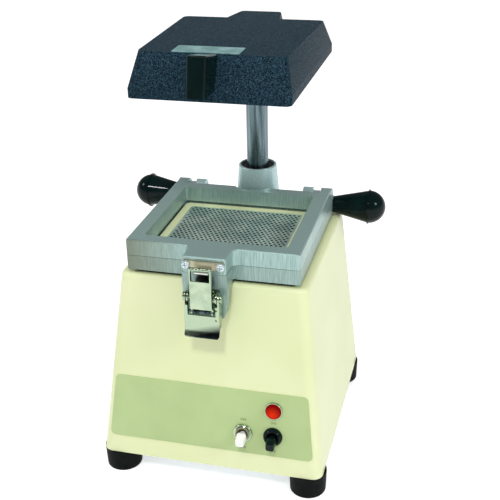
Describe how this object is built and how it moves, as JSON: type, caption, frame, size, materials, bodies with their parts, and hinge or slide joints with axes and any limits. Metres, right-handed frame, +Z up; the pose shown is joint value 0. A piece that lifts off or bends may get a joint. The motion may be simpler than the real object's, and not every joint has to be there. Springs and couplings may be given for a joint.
{
  "type": "dental vacuum former",
  "caption": "Bench-top vacuum former with a tapered housing, perforated platform, hinged sheet frame that slides on a post, and a swing-away heater.",
  "frame": {"origin": "on the bench, under the middle of the overall box", "axes": "+Z up the post, +Y towards the back, +X to the right seen from the control panel"},
  "size_m": [0.2426, 0.224, 0.3696],
  "materials": {
    "cream_paint": "satin",
    "panel_sheet": "matte",
    "cast_aluminium": "satin",
    "polished_steel": "polished",
    "zinc_steel": "satin",
    "black_rubber": "matte",
    "black_gloss": "gloss",
    "black_matte": "matte",
    "white_plastic": "gloss",
    "wrinkle_black": "textured",
    "red_lens": "gloss",
    "bare_label": "satin",
    "ceramic_board": "matte",
    "element_sheath": "matte",
    "bronze_bush": "satin",
    "laminated_steel": "satin",
    "lead_sleeve": "woven"
  },
  "bodies": {
    "base": {"housing": "cream_paint", "forming_platform": "cream_paint", "vacuum_plate": "cast_aluminium", "platform_seal": "black_rubber", "base_plate": "zinc_steel", "rubber_feet": "black_rubber", "foot_screws": "zinc_steel", "post_tube": "polished_steel", "post_flange": "cast_aluminium", "post_flange_screws": "zinc_steel", "post_cap": "bronze_bush", "heater_leads": "lead_sleeve", "control_panel": "panel_sheet", "lamp_lens": "red_lens", "lamp_bezel": "black_gloss", "lamp_body": "black_matte", "toggle_bodies": "black_matte", "toggle_nuts": "black_gloss", "cord_bush": "black_rubber", "intake_seal": "black_rubber", "fan_case": "zinc_steel", "motor_frame": "cast_aluminium", "motor_stator": "laminated_steel", "motor_bearings": "bronze_bush", "motor_studs": "zinc_steel"},
    "motor_rotor": {"motor_armature": "laminated_steel", "motor_shaft": "zinc_steel", "suction_impeller": "cast_aluminium"},
    "vacuum_switch": {"vacuum_toggle": "white_plastic"},
    "heater_switch": {"heater_toggle": "black_gloss"},
    "carriage": {"lower_frame": "cast_aluminium", "frame_gasket": "black_rubber", "post_bush": "black_matte", "detent_ball": "polished_steel", "detent_spring": "polished_steel", "detent_screw": "zinc_steel", "hinge_pins": "polished_steel", "hinge_spacers": "polished_steel", "knob_studs": "zinc_steel", "slide_knobs": "black_gloss", "latch_base": "zinc_steel", "latch_base_screws": "zinc_steel", "latch_pin": "polished_steel"},
    "upper_half": {"upper_frame": "cast_aluminium", "keeper_plate": "zinc_steel", "keeper_screws": "zinc_steel"},
    "lever": {"latch_lever": "zinc_steel", "claw_pin": "polished_steel"},
    "claw": {"latch_claw": "zinc_steel", "claw_springs": "polished_steel"},
    "heater": {"heater_cover": "wrinkle_black", "heater_bush": "bronze_bush", "heater_handle": "black_gloss", "handle_screws": "zinc_steel", "reflector": "polished_steel", "insulation_board": "ceramic_board", "heating_element": "element_sheath", "element_supports": "ceramic_board", "reflector_screws": "zinc_steel", "heater_plate": "bare_label"}
  },
  "joints": [
    {"name": "motor_spin", "type": "hinge", "parent": "base", "child": "motor_rotor", "pos_m": [0, -0.0065, 0.11], "axis": [0, 0, 1], "continuous": true},
    {"name": "vacuum_switch_throw", "type": "hinge", "parent": "base", "child": "vacuum_switch", "pos_m": [0.0295, -0.09784, 0.05484], "axis": [-1, 0, 0], "range_deg": [0, 34]},
    {"name": "heater_switch_throw", "type": "hinge", "parent": "base", "child": "heater_switch", "pos_m": [0.0552, -0.09784, 0.05484], "axis": [-1, 0, 0], "range_deg": [0, 34]},
    {"name": "frame_slide", "type": "slide", "parent": "base", "child": "carriage", "axis": [0, 0, 1], "range_m": [0, 0.09]},
    {"name": "frame_hinge", "type": "hinge", "parent": "carriage", "child": "upper_half", "pos_m": [0, 0.07, 0.206], "axis": [-1, 0, 0], "range_deg": [0, 44]},
    {"name": "latch_lever_swing", "type": "hinge", "parent": "carriage", "child": "lever", "pos_m": [0, -0.1013, 0.1814], "axis": [-1, 0, 0], "range_deg": [0, 90]},
    {"name": "latch_claw_swing", "type": "hinge", "parent": "lever", "child": "claw", "pos_m": [0, -0.1025, 0.1689], "axis": [-1, 0, 0], "range_deg": [-85, 0]},
    {"name": "heater_swing", "type": "hinge", "parent": "base", "child": "heater", "pos_m": [0, 0.0839, 0.345], "axis": [0, 0, 1], "range_deg": [-180, 180]}
  ],
  "couplings": [
    {"joint": "latch_claw_swing", "follows": "latch_lever_swing", "ratio": -0.9}
  ]
}
